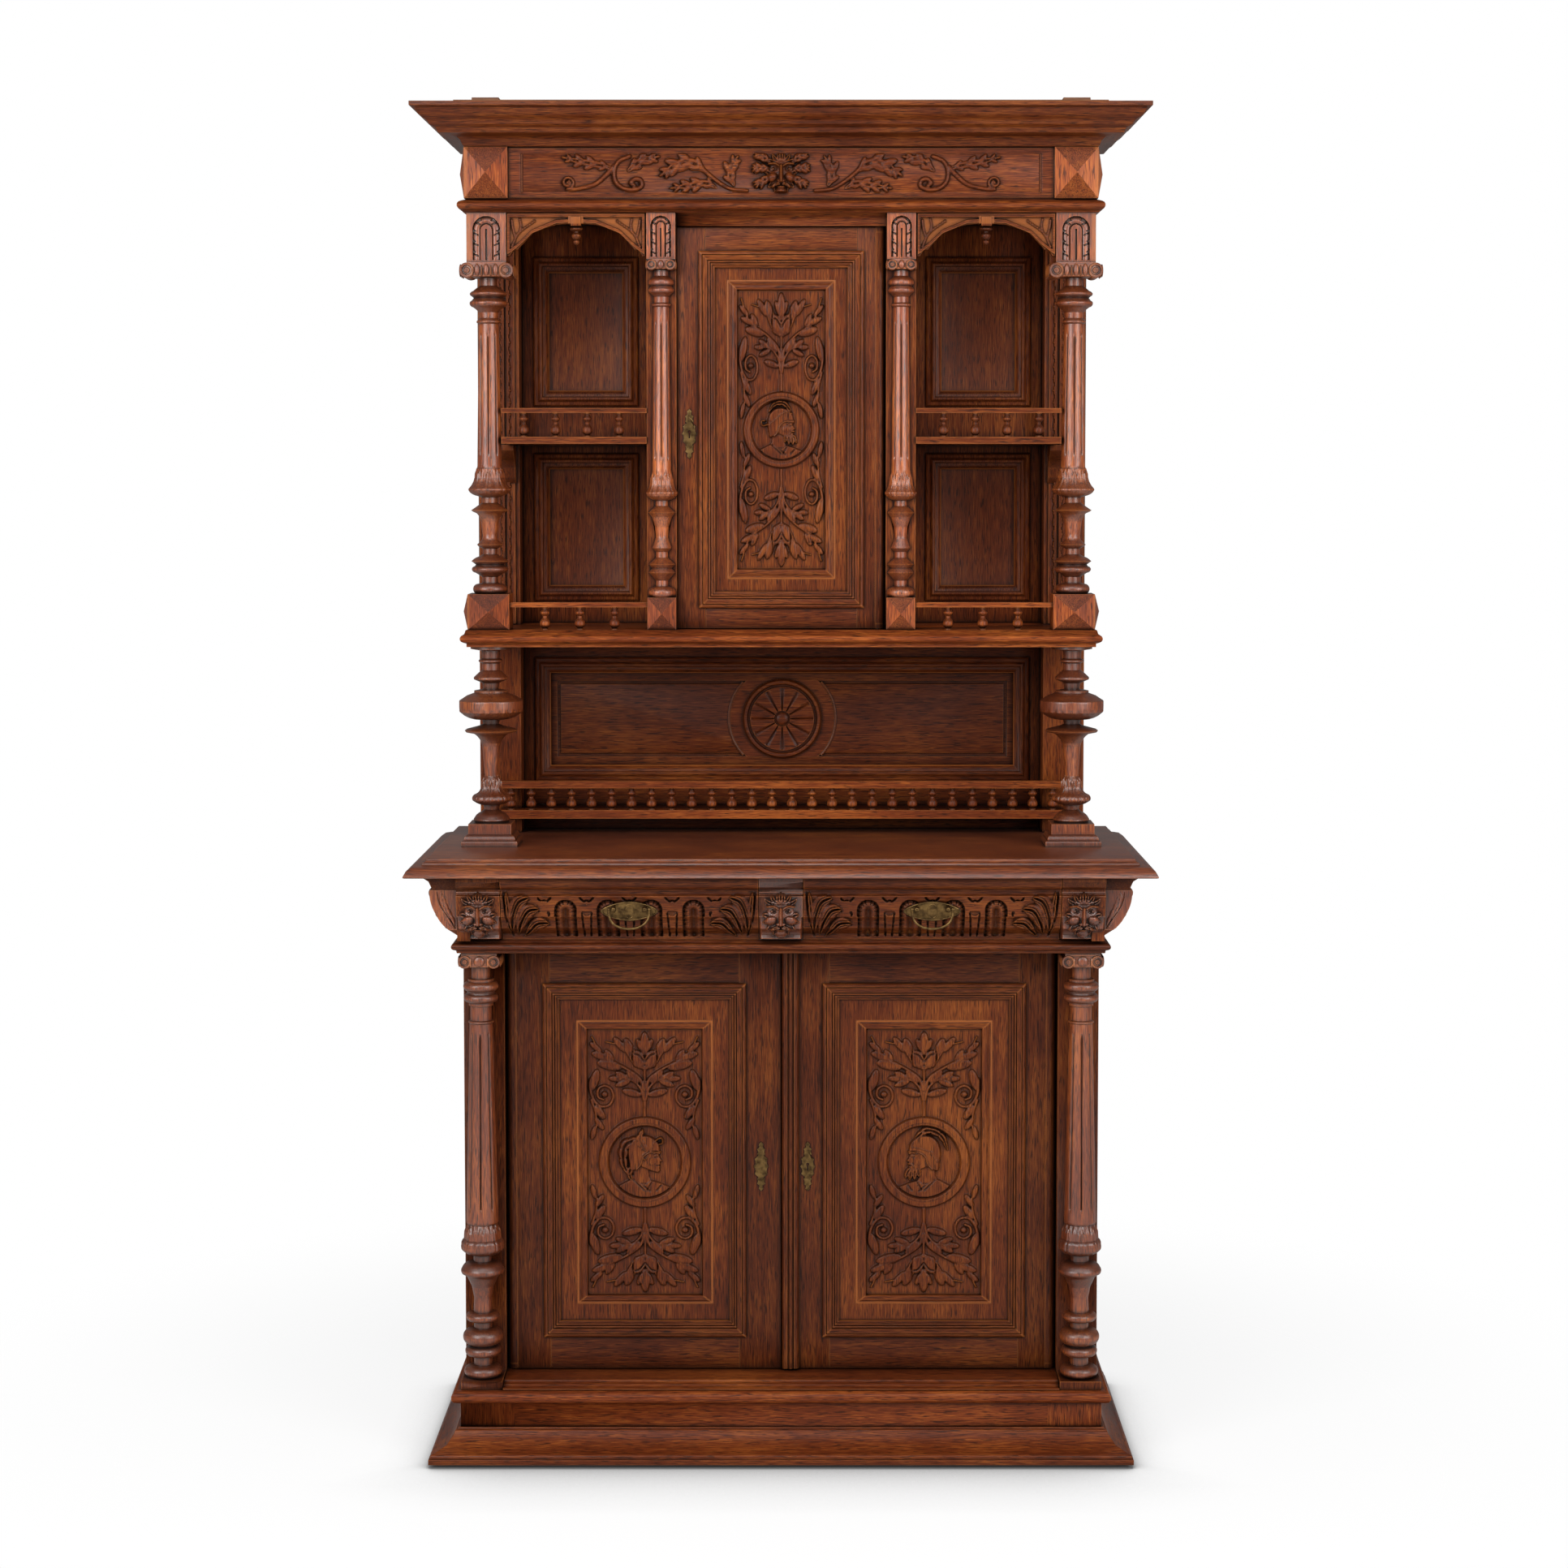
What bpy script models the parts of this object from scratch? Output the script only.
"""Serving cabinet in two stages, oak in the Renaissance-revival manner.

A base cupboard with two doors and two drawers carries an open serving bay, and above the bay stands a
small cupboard between two open niches. The origin is the middle of the floor area, the front faces -Y,
and all sizes are metres.
"""
import math

import bmesh
import bpy

# Clearances
GAP = 0.0003
SWING_GAP = 0.0010
PIN_GAP = 0.00025

# Plan sizes: half widths along X and planes along Y
BACK_Y = 0.280
BODY_HALF = 0.563
BODY_FRONT_Y = -0.120
PLINTH_FRONT_Y = -0.195
UPPER_HALF = 0.560
UPPER_FRONT_Y = -0.052
REAR_POST_FRONT_Y = 0.170
BACKBOARD_Y = 0.235

# Heights of the stages
FOOT_RISE = 0.0065
BASE_MOULDING_H = 0.0535
PLINTH_FACE_H = 0.0435
TORUS_H = 0.0220
FLOOR_T = 0.0117
BASE_OPENING_H = 0.7762
RAIL_T = 0.0235
FRIEZE_H = 0.1178
WORKTOP_T = 0.0300
BAY_H = 0.3570
SHELF_T = 0.0300
CUPBOARD_H = 0.7390
ENTABLATURE_H = 0.1150
CORNICE_H = 0.0702
TOP_T = 0.0080
TOP_BLOCK_H = 0.0080

# Base pieces
POST_W = 0.072
POST_D = 0.060
FOOT_W = 0.070
PLINTH_WALL = 0.022
BASE_PROJECTION = 0.0525
SIDE_T = 0.022
BACK_T = 0.012
INNER_SHELF_T = 0.018
INNER_SHELF_RISE = 0.352
CLEAT = 0.020
COLUMN_BLOCK_H = 0.0145
BASE_COLUMN_Y = -0.158
WORKTOP_HALF = 0.650
WORKTOP_FRONT_Y = -0.280
RAIL_PROJECTION = 0.0130
MASK_HALF = 0.038
EAR_FRONT_Y = -0.215
DIVIDER_T = 0.020

# Upper pieces
UPPER_COLUMN_Y = -0.015
UPPER_BLOCK_HALF = 0.037
TOP_BLOCK_HALF = 0.035
DIAMOND_RISE = 0.011
DIAMOND_BLOCK_H = 0.0636
CAPITAL_BLOCK_H = 0.0872
CAPITAL_H = 0.0285
REAR_POST_W = 0.076
SHELF_NOSE = 0.0090
NICHE_SHELF_T = 0.0120
NICHE_SHELF_RISE = 0.3315
NICHE_SHELF_FRONT_Y = -0.035
GALLERY_RAIL = 0.0085
SPINDLE_H = 0.0405
NICHE_SPINDLE_H = 0.0427
LEDGE_T = 0.0155
LEDGE_RISE = 0.0300
LEDGE_FRONT_Y = 0.130
LONG_SPINDLES = 28
LONG_SPINDLE_END = 0.0210
LONG_RAIL_H = 0.0130
NICHE_SPINDLES = 4
NICHE_SPINDLE_INNER = 0.0494
NICHE_SPINDLE_OUTER = 0.0395
LOW_SPINDLES = 3
LOW_SPINDLE_INNER = 0.0578
LOW_SPINDLE_OUTER = 0.0624
BAY_RING_SIDE = 0.0208
BAY_RING_LOW = 0.0903
BAY_RING_TOP = 0.0343
BAY_RING_H = 0.010
BAY_RING_LAP = 0.0220
BAY_PANEL_RECESS = 0.012
BAY_GROOVE_SIDE = 0.0412
BAY_GROOVE_RAIL = 0.0450
BAY_GROOVE_W = 0.006
BAY_GROOVE_DEPTH = 0.003
ROSETTE_R = 0.0734
NICHE_RING_INNER = 0.0280
NICHE_RING_OUTER = 0.0212
NICHE_RING_LOW = 0.0412
NICHE_RING_UNDER = 0.0151
NICHE_RING_OVER = 0.0600
NICHE_RING_TOP = 0.0590
NICHE_RING_LAP = 0.024
NICHE_RING_H = 0.009
TOP_OVERHANG = 0.015
TOP_FRONT_OVERHANG = 0.030
GLUE_BLOCK_W = 0.048
GLUE_BLOCK_L = 0.098
THIN_BLOCK_W = 0.040
THIN_BLOCK_L = 0.078
STILE_INNER = 0.1865
STILE_W = 0.053
STILE_FRONT_Y = -0.030
STILE_T = 0.022
CUPBOARD_WALL = 0.020
ENTABLATURE_WALL = 0.026
DROP_RAIL_H = 0.0222
ARCH_T = 0.018

# Doors
DOOR_T = 0.024
DOOR_RECESS = 0.015
DOOR_MEET = 0.0010
DOOR_MEET_STILE = 0.0616
DOOR_HINGE_STILE = 0.0656
COVER_SHIFT = 0.0110
DOOR_LOW_RAIL = 0.0585
DOOR_TOP_RAIL = 0.0672
BOLECTION_W = 0.030
BOLECTION_H = 0.008
BOLECTION_LAP = 0.012
PANEL_T = 0.014
PANEL_RECESS = 0.004
BORDER_SIDE_INSET = 0.0599
BORDER_LOW_INSET = 0.0598
BORDER_TOP_INSET = 0.0677
BORDER_SIDE_W = 0.0198
BORDER_RAIL_W = 0.0167
BORDER_RISE = 0.003
FIELD_SINK = 0.006
MEDALLION_R = 0.0825
MEDALLION_IN = 0.0646
ASTRAGAL_W = 0.0305
ASTRAGAL_T = 0.012
UPPER_DOOR_T = 0.022
UPPER_DOOR_RECESS = 0.010
UPPER_DOOR_STILE = 0.0379
UPPER_LOW_RAIL = 0.0379
UPPER_TOP_RAIL = 0.0433
UPPER_BORDER_INSET = 0.0511
UPPER_BORDER_RAIL_INSET = 0.0518
UPPER_BORDER_W = 0.0195
UPPER_BORDER_RAIL_W = 0.0187
UPPER_MEDALLION_R = 0.0683
UPPER_MEDALLION_IN = 0.0531
PIVOT_R = 0.0030
PIVOT_COLLAR_R = 0.0070
PIVOT_DEPTH = 0.0080

# Drawers and brass
DRAWER_BACK_Y = 0.215
DRAWER_WALL = 0.010
DRAWER_FLOOR = 0.008
DRAWER_FRONT_T = 0.018
DRAWER_CLEAR = 0.0010
PLATE_HALF_W = 0.0495
PLATE_HALF_H = 0.0175
PLATE_T = 0.0018
HANDLE_POST_HALF = 0.027
HANDLE_BALL_R = 0.0055
HANDLE_REACH = 0.0135
BAIL_WIRE_R = 0.0023
BAIL_DROP = 0.034
BAIL_PIN_R = 0.0014
ESCUTCHEON_T = 0.0018
ESCUTCHEON_HALF_W = 0.0135
ESCUTCHEON_H = 0.089

# Levels that follow from the heights
Z_MOULDING = FOOT_RISE + BASE_MOULDING_H
Z_PLINTH = Z_MOULDING + PLINTH_FACE_H
Z_TORUS = Z_PLINTH + TORUS_H
Z_FLOOR = Z_TORUS + GAP + FLOOR_T
Z_RAIL = Z_TORUS + BASE_OPENING_H
Z_FRIEZE = Z_RAIL + RAIL_T
Z_WORKTOP = Z_FRIEZE + FRIEZE_H
Z_TOP = Z_WORKTOP + WORKTOP_T
Z_SHELF = Z_TOP + BAY_H
Z_UPPER = Z_SHELF + SHELF_T
Z_ENTABLATURE = Z_UPPER + CUPBOARD_H
Z_CORNICE = Z_ENTABLATURE + ENTABLATURE_H
Z_ROOF = Z_CORNICE + CORNICE_H
POST_IN = BODY_HALF - POST_W
BASE_COLUMN_X = BODY_HALF - POST_W / 2.0 + 0.0015
UPPER_COLUMN_X = UPPER_HALF - UPPER_BLOCK_HALF - 0.0015
REAR_POST_IN = UPPER_HALF - REAR_POST_W
STILE_OUT = STILE_INNER + STILE_W
STILE_MID = STILE_INNER + STILE_W / 2.0

ROUND = 10
SPINDLE_SIDES = 6
MOULDING_STEP = math.radians(34.0)
TURNING_STEP = math.radians(75.0)


def trace(points, step=MOULDING_STEP):
    """Expand outline points into plain pairs; a third number is the bulge of the arc to the next point."""
    out = []
    for here, there in zip(points, points[1:]):
        out.append((here[0], here[1]))
        bulge = here[2] if len(here) > 2 else 0.0
        if not bulge:
            continue
        sweep = 4.0 * math.atan(bulge)
        count = max(1, math.ceil(abs(sweep) / step))
        dx, dy = there[0] - here[0], there[1] - here[1]
        lift = (1.0 - bulge * bulge) / (4.0 * bulge)
        cx = (here[0] + there[0]) / 2.0 + dy * lift
        cy = (here[1] + there[1]) / 2.0 - dx * lift
        for k in range(1, count):
            turn = -sweep * k / count
            ax, ay = here[0] - cx, here[1] - cy
            out.append((cx + ax * math.cos(turn) - ay * math.sin(turn),
                        cy + ax * math.sin(turn) + ay * math.cos(turn)))
    out.append((points[-1][0], points[-1][1]))
    return out


class Shape:
    """A plain polygon mesh held as vertex and face lists."""

    def __init__(self, verts=(), faces=()):
        self.verts = [tuple(v) for v in verts]
        self.faces = [tuple(f) for f in faces]

    def add(self, other):
        """Append another shape that does not touch this one."""
        base = len(self.verts)
        self.verts += other.verts
        self.faces += [tuple(base + i for i in f) for f in other.faces]
        return self

    def moved(self, x=0.0, y=0.0, z=0.0):
        """Return a shifted copy."""
        return Shape([(a + x, b + y, c + z) for a, b, c in self.verts], self.faces)

    def flipped(self, sign):
        """Return a copy mirrored in X when the sign is negative."""
        if sign > 0:
            return Shape(self.verts, self.faces)
        return Shape([(-a, b, c) for a, b, c in self.verts], [f[::-1] for f in self.faces])


def loops(rings, closed=True, caps=True):
    """Join successive vertex rings into a skin, with end caps."""
    shape = Shape()
    count = len(rings[0])
    for ring in rings:
        shape.verts += [tuple(v) for v in ring]
    span = count if closed else count - 1
    for i in range(len(rings) - 1):
        for j in range(span):
            k = (j + 1) % count
            shape.faces.append((i * count + j, i * count + k, (i + 1) * count + k, (i + 1) * count + j))
    if caps:
        last = (len(rings) - 1) * count
        shape.faces.append(tuple(range(count))[::-1])
        shape.faces.append(tuple(last + j for j in range(count)))
    return shape


def box(x0, x1, y0, y1, z0, z1):
    """A rectangular block."""
    low = [(x0, y0, z0), (x1, y0, z0), (x1, y1, z0), (x0, y1, z0)]
    high = [(x, y, z1) for x, y, _ in low]
    return loops([low, high])


def along_x(outline, x0, x1):
    """A block with a (y, z) outline."""
    pts = trace(outline)
    return loops([[(x0, y, z) for y, z in pts], [(x1, y, z) for y, z in pts]])


def along_y(outline, y0, y1):
    """A block with an (x, z) outline."""
    pts = trace(outline)
    return loops([[(x, y0, z) for x, z in pts], [(x, y1, z) for x, z in pts]])


def turned(profile, x, y, base=0.0, segments=ROUND):
    """A turning about a vertical axis from (radius, z) points listed from top to bottom."""
    rings = []
    for r, z in trace(profile, TURNING_STEP):
        rings.append([(x + r * math.cos(2 * math.pi * k / segments),
                       y + r * math.sin(2 * math.pi * k / segments), base + z) for k in range(segments)])
    return loops(rings)


def round_bar(axis, centre, radius, start, end, segments=10):
    """A plain cylinder along one axis; centre gives the two other coordinates in order."""
    rings = []
    for at in (start, end):
        ring = []
        for k in range(segments):
            u = centre[0] + radius * math.cos(2 * math.pi * k / segments)
            v = centre[1] + radius * math.sin(2 * math.pi * k / segments)
            ring.append({"x": (at, u, v), "y": (u, at, v), "z": (u, v, at)}[axis])
        rings.append(ring)
    return loops(rings)


def around_front(section, half, front, back):
    """A moulding that runs round the left end, the front and the right end, from (projection, z) points."""
    pts = trace(section)
    rings = [[(-(half + p), back, z) for p, z in pts],
             [(-(half + p), front - p, z) for p, z in pts],
             [(half + p, front - p, z) for p, z in pts],
             [(half + p, back, z) for p, z in pts]]
    return loops(rings)


def moulded_board(edge, half, front, back):
    """A solid board whose front and end edges follow (projection, z) points, from bottom to top."""
    rings = []
    for p, z in trace(edge):
        rings.append([(-(half + p), front - p, z), (half + p, front - p, z), (half + p, back, z),
                      (-(half + p), back, z)])
    return loops(rings)


def ring_frame(section, x0, x1, z0, z1, face_y):
    """A mitred rectangular frame from a closed (inset, forward) section."""
    rings = []
    for sx, sz in ((0, 0), (1, 0), (1, 1), (0, 1)):
        rings.append([(x0 + d if not sx else x1 - d, face_y - h, z0 + d if not sz else z1 - d)
                      for d, h in trace(section)])
    shape = loops(rings, caps=False)
    count = len(rings[0])
    last = 3 * count
    for j in range(count):
        k = (j + 1) % count
        shape.faces.append((last + j, last + k, k, j))
    return shape


def diamond(x0, x1, y0, y1, z0, z1, side):
    """A block with a low pyramid on the front face and on its outer end."""
    shape = box(x0, x1, y0, y1, z0, z1)
    faces = []
    outer = x1 if side > 0 else x0
    for face in shape.faces:
        ring = [shape.verts[i] for i in face]
        front = all(abs(v[1] - y0) < 1e-9 for v in ring)
        end = all(abs(v[0] - outer) < 1e-9 for v in ring)
        if not (front or end):
            faces.append(face)
            continue
        tip = len(shape.verts)
        mid_x, mid_y, mid_z = (x0 + x1) / 2.0, (y0 + y1) / 2.0, (z0 + z1) / 2.0
        if front:
            shape.verts.append((mid_x, y0 - DIAMOND_RISE, mid_z))
        else:
            shape.verts.append((outer + side * DIAMOND_RISE, mid_y, mid_z))
        faces += [(face[k], face[(k + 1) % 4], tip) for k in range(4)]
    shape.faces = faces
    return shape


def to_mesh(shape, name):
    """Turn a shape into a mesh with faces out."""
    mesh = bpy.data.meshes.new(name)
    mesh.from_pydata(shape.verts, [], shape.faces)
    work = bmesh.new()
    work.from_mesh(mesh)
    bmesh.ops.recalc_face_normals(work, faces=work.faces)
    work.to_mesh(mesh)
    work.free()
    return mesh


def combine(first, second, operation):
    """Boolean of two shapes, given back as a shape."""
    a = bpy.data.objects.new("a", to_mesh(first, "a"))
    b = bpy.data.objects.new("b", to_mesh(second, "b"))
    for obj in (a, b):
        bpy.context.scene.collection.objects.link(obj)
    b.hide_render = True
    b.display_type = "WIRE"
    modifier = a.modifiers.new("join", "BOOLEAN")
    modifier.operation = operation
    modifier.solver = "EXACT"
    modifier.object = b
    bpy.context.view_layer.update()
    done = a.evaluated_get(bpy.context.evaluated_depsgraph_get())
    mesh = done.to_mesh()
    work = bmesh.new()
    work.from_mesh(mesh)
    bmesh.ops.remove_doubles(work, verts=work.verts, dist=0.000002)
    bmesh.ops.dissolve_degenerate(work, edges=work.edges, dist=0.000002)
    work.verts.index_update()
    result = Shape([tuple(v.co) for v in work.verts], [[v.index for v in f.verts] for f in work.faces])
    work.free()
    done.to_mesh_clear()
    for obj in (a, b):
        used = obj.data
        bpy.data.objects.remove(obj)
        bpy.data.meshes.remove(used)
    return result


def fuse(first, *others):
    """One solid from overlapping shapes."""
    for other in others:
        first = combine(first, other, "UNION")
    return first


def cut(first, *others):
    """Remove shapes from a solid."""
    for other in others:
        first = combine(first, other, "DIFFERENCE")
    return first


def material(name, colour, metallic, roughness):
    """A plain Principled material."""
    made = bpy.data.materials.new(name)
    made.use_nodes = True
    shader = made.node_tree.nodes["Principled BSDF"]
    shader.inputs["Base Color"].default_value = (*colour, 1.0)
    shader.inputs["Metallic"].default_value = metallic
    shader.inputs["Roughness"].default_value = roughness
    return made


def place(name, shape, finish, origin=(0.0, 0.0, 0.0)):
    """Link one named piece, with its own origin on the joint axis when it moves."""
    mesh = to_mesh(shape.moved(-origin[0], -origin[1], -origin[2]), name)
    mesh.materials.append(finish)
    obj = bpy.data.objects.new(name, mesh)
    obj.location = origin
    bpy.context.scene.collection.objects.link(obj)
    return obj


# Turned profiles: (radius, height) from the bottom of the piece, or down from its top
SPINDLE = [(0.0048, 1.0), (0.0078, 0.73), (0.0042, 0.53), (0.0088, 0.22), (0.0050, 0.0)]

BASE_COLUMN_HIGH = [(0.0163, -0.029), (0.0163, -0.051), (0.0226, -0.0525), (0.0226, -0.0565), (0.0250, -0.0572, 0.75),
                    (0.0250, -0.0732), (0.0240, -0.0762), (0.0250, -0.0782, 0.75), (0.0250, -0.0927),
                    (0.0213, -0.0940), (0.0213, -0.0990), (0.0186, -0.1000), (0.0186, -0.1250),
                    (0.0215, -0.1265), (0.0215, -0.1300), (0.0203, -0.1310)]
BASE_COLUMN_LOW = [(0.0284, 0.2775), (0.0258, 0.2740, 0.10), (0.0300, 0.2480, 0.30), (0.0344, 0.2380, 0.40),
                   (0.0260, 0.2210), (0.0160, 0.2180), (0.0160, 0.2080), (0.0220, 0.2065, 0.30),
                   (0.0365, 0.1960, 0.35), (0.0365, 0.1860), (0.0279, 0.1810, -0.18), (0.0164, 0.1220),
                   (0.0164, 0.1165), (0.0240, 0.1155, 0.35), (0.0300, 0.1090, 0.35), (0.0240, 0.1005),
                   (0.0160, 0.0990), (0.0160, 0.0885), (0.0250, 0.0865, 0.75), (0.0250, 0.0585),
                   (0.0235, 0.0565), (0.0270, 0.0550, 0.60), (0.0270, 0.0390), (0.0160, 0.0370),
                   (0.0160, 0.0225), (0.0255, 0.0205, 0.80), (0.0255, 0.0003)]

UPPER_COLUMN_HIGH = [(0.0155, -0.0305), (0.0155, -0.0440), (0.0203, -0.0470, 0.0), (0.0276, -0.0530, 0.20),
                     (0.0332, -0.0575, 0.35), (0.0300, -0.0620), (0.0262, -0.0655), (0.0305, -0.0705, 0.35),
                     (0.0336, -0.0750, 0.35), (0.0276, -0.0815, -0.10), (0.0172, -0.0910), (0.0166, -0.1010),
                     (0.0200, -0.1050, 0.60), (0.0200, -0.1100), (0.0178, -0.1115)]
UPPER_COLUMN_LOW = [(0.0217, 0.2260), (0.0232, 0.2235), (0.0240, 0.2080, -0.15), (0.0342, 0.1890, 0.40),
                    (0.0342, 0.1850, 0.30), (0.0232, 0.1758), (0.0144, 0.1730), (0.0144, 0.1635),
                    (0.0246, 0.1560), (0.0334, 0.1500), (0.0300, 0.1475), (0.0232, 0.1445, -0.15),
                    (0.0159, 0.1300, -0.05), (0.0129, 0.1050), (0.0140, 0.0980), (0.0232, 0.0885),
                    (0.0200, 0.0850), (0.0129, 0.0815), (0.0129, 0.0715), (0.0203, 0.0675, 0.15),
                    (0.0334, 0.0590), (0.0254, 0.0530), (0.0276, 0.0500, 0.35), (0.0328, 0.0445, 0.35),
                    (0.0261, 0.0385), (0.0144, 0.0310), (0.0144, 0.0205), (0.0250, 0.0180, 0.65),
                    (0.0250, 0.0004)]

BAY_COLUMN_HIGH = [(0.0360, -0.0003), (0.0360, -0.0050), (0.0166, -0.0085), (0.0159, -0.0220),
                   (0.0210, -0.0250), (0.0210, -0.0285), (0.0159, -0.0310), (0.0159, -0.0430),
                   (0.0203, -0.0465), (0.0300, -0.0555, 0.30), (0.0300, -0.0600), (0.0150, -0.0665),
                   (0.0137, -0.0770), (0.0300, -0.0800), (0.0300, -0.0840, 0.12), (0.0545, -0.0965, 0.30),
                   (0.0569, -0.0990), (0.0569, -0.1175), (0.0545, -0.1195, 0.25), (0.0159, -0.1310),
                   (0.0144, -0.1400), (0.0217, -0.1432), (0.0437, -0.1490), (0.0473, -0.1518),
                   (0.0451, -0.1548), (0.0305, -0.1578, -0.22), (0.0159, -0.1810, -0.03), (0.0122, -0.2330)]
BAY_COLUMN_LOW = [(0.0122, 0.1230), (0.0155, 0.1170), (0.0165, 0.1010, -0.20), (0.0255, 0.0905, 0.30),
                  (0.0318, 0.0845, 0.35), (0.0290, 0.0770, 0.20), (0.0150, 0.0710), (0.0133, 0.0630),
                  (0.0188, 0.0586, 0.20), (0.0312, 0.0475, 0.45), (0.0312, 0.0420), (0.0300, 0.0385)]
BAY_PLINTH = [(0.0500, 0.0003), (0.0500, 0.0100), (0.0455, 0.0110, -0.35), (0.0385, 0.0215), (0.0385, 0.0385)]

HALF_COLUMN_HIGH = [(0.0130, -0.0330), (0.0130, -0.0430), (0.0175, -0.0470, 0.30), (0.0225, -0.0540, 0.40),
                    (0.0190, -0.0605), (0.0225, -0.0660, 0.45), (0.0190, -0.0740), (0.0135, -0.0800),
                    (0.0135, -0.0900), (0.0165, -0.0925), (0.0165, -0.0960), (0.0140, -0.0980)]
HALF_COLUMN_LOW = [(0.0170, 0.2280), (0.0185, 0.2080, -0.15), (0.0250, 0.1890, 0.40), (0.0250, 0.1850, 0.30),
                   (0.0170, 0.1750), (0.0115, 0.1730), (0.0115, 0.1640), (0.0240, 0.1520), (0.0180, 0.1440, -0.12),
                   (0.0110, 0.1080), (0.0175, 0.0890), (0.0110, 0.0820), (0.0110, 0.0720), (0.0235, 0.0600),
                   (0.0180, 0.0530), (0.0235, 0.0450), (0.0115, 0.0310), (0.0115, 0.0210), (0.0200, 0.0180, 0.55),
                   (0.0200, 0.0005)]


def pillar(high, low, top, bottom):
    """Join an upper and a lower profile into one, with the shaft between them."""
    return [(p[0], top + p[1], *p[2:]) for p in high] + [(p[0], bottom + p[1], *p[2:]) for p in low]


def spindle_row(first, last, count, y, z0, height):
    """A row of small turned spindles that run slightly into the pieces above and below."""
    row = Shape()
    for k in range(count):
        x = first + (last - first) * k / (count - 1)
        profile = [(p[0], z0 - 0.002 + p[1] * (height + 0.004), *p[2:]) for p in SPINDLE]
        row.add(turned(profile, x, y, segments=SPINDLE_SIDES))
    return row


def ionic_capital(x, y, z0, z1, half_w, half_d):
    """A capital block with a scroll at each end."""
    height = z1 - z0
    roll = height * 0.46
    mid = z0 + height * 0.50
    block = box(x - half_w + roll, x + half_w - roll, y - half_d, y + half_d, z0, z1)
    scrolls = Shape()
    for end in (-1, 1):
        scrolls.add(round_bar("y", (x + end * (half_w - roll), mid), roll, y - half_d - 0.0012,
                              y + half_d + 0.0012, 10))
    return fuse(block, scrolls)


def frieze_line():
    """The drawer frieze section as (y, z), from the bottom to the top."""
    return [(-0.1950, Z_FRIEZE + GAP), (-0.1950, Z_FRIEZE + 0.0108, -0.10), (-0.2160, Z_FRIEZE + 0.0238, -0.12),
            (-0.2325, Z_FRIEZE + 0.0458, -0.14), (-0.2425, Z_FRIEZE + 0.0828, -0.35), (-0.2380, Z_FRIEZE + 0.0938, 0.30),
            (-0.2530, Z_FRIEZE + 0.1090), (-0.2530, Z_WORKTOP - GAP)]


def frieze_depth(z):
    """The front plane of the drawer frieze at a height."""
    line = trace(frieze_line())
    for (y0, z0), (y1, z1) in zip(line, line[1:]):
        if z0 <= z <= z1 and z1 > z0:
            return y0 + (y1 - y0) * (z - z0) / (z1 - z0)
    return line[-1][0]


def plinth_shape():
    """The plinth frame with its torus and the four feet."""
    section = [(-PLINTH_WALL, FOOT_RISE), (0.0, FOOT_RISE), (0.0, Z_PLINTH, ), (0.0060, Z_PLINTH, -0.9),
               (0.0060, Z_TORUS), (-PLINTH_WALL, Z_TORUS)]
    frame = around_front(section, BODY_HALF + 0.002, PLINTH_FRONT_Y, BACK_Y)
    feet = Shape()
    for side in (-1, 1):
        outer = side * (BODY_HALF - 0.002)
        inner = side * (BODY_HALF - 0.002 - FOOT_W)
        feet.add(box(min(outer, inner), max(outer, inner), PLINTH_FRONT_Y + 0.003, PLINTH_FRONT_Y + 0.003 + FOOT_W,
                     0.0, Z_MOULDING - 0.010))
        feet.add(box(min(outer, inner), max(outer, inner), BACK_Y - 0.003 - FOOT_W, BACK_Y - 0.003,
                     0.0, Z_MOULDING - 0.010))
    return fuse(frame, feet)


def base_moulding_shape():
    """The heavy foot moulding round three sides of the plinth."""
    p = BASE_PROJECTION
    section = [(GAP, FOOT_RISE), (p, FOOT_RISE), (p, FOOT_RISE + 0.0090), (p - 0.003, FOOT_RISE + 0.0100, -0.5),
               (p - 0.007, FOOT_RISE + 0.0180), (p - 0.010, FOOT_RISE + 0.0185, 0.28), (0.0110, Z_MOULDING - 0.0090),
               (0.0100, Z_MOULDING - 0.0065, -0.5), (0.0050, Z_MOULDING - 0.0030), (0.0045, Z_MOULDING), (GAP, Z_MOULDING)]
    return around_front(section, BODY_HALF + 0.002, PLINTH_FRONT_Y, BACK_Y)


def post_shape(side):
    """A front corner post with the low block its column stands on."""
    post = box(POST_IN, BODY_HALF, BODY_FRONT_Y, BODY_FRONT_Y + POST_D, Z_TORUS + GAP, Z_RAIL - GAP)
    block = box(POST_IN + 0.0005, BODY_HALF + 0.0015, PLINTH_FRONT_Y, BODY_FRONT_Y + 0.01,
                Z_TORUS + GAP, Z_TORUS + GAP + COLUMN_BLOCK_H)
    return fuse(post, block).flipped(side)


def base_side_shape(side):
    """A framed side with two sunk panels outside and a shelf cleat inside."""
    y0, y1 = BODY_FRONT_Y + POST_D + GAP, BACK_Y
    z0, z1 = Z_TORUS + GAP, Z_RAIL - GAP
    wall = box(BODY_HALF - SIDE_T, BODY_HALF, y0, y1, z0, z1)
    mid = (z0 + z1) / 2.0
    sunk = Shape()
    for low, high in ((z0 + 0.070, mid - 0.035), (mid + 0.035, z1 - 0.070)):
        sunk.add(box(BODY_HALF - 0.007, BODY_HALF + 0.01, y0 + 0.050, y1 - 0.060, low, high))
    wall = cut(wall, sunk)
    shelf_z = Z_FLOOR + INNER_SHELF_RISE
    cleat = box(BODY_HALF - SIDE_T - CLEAT, BODY_HALF - SIDE_T + 0.002, y0 + 0.020, y1 - BACK_T - 0.010,
                shelf_z - GAP - CLEAT, shelf_z - GAP)
    return fuse(wall, cleat).flipped(side)


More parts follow.
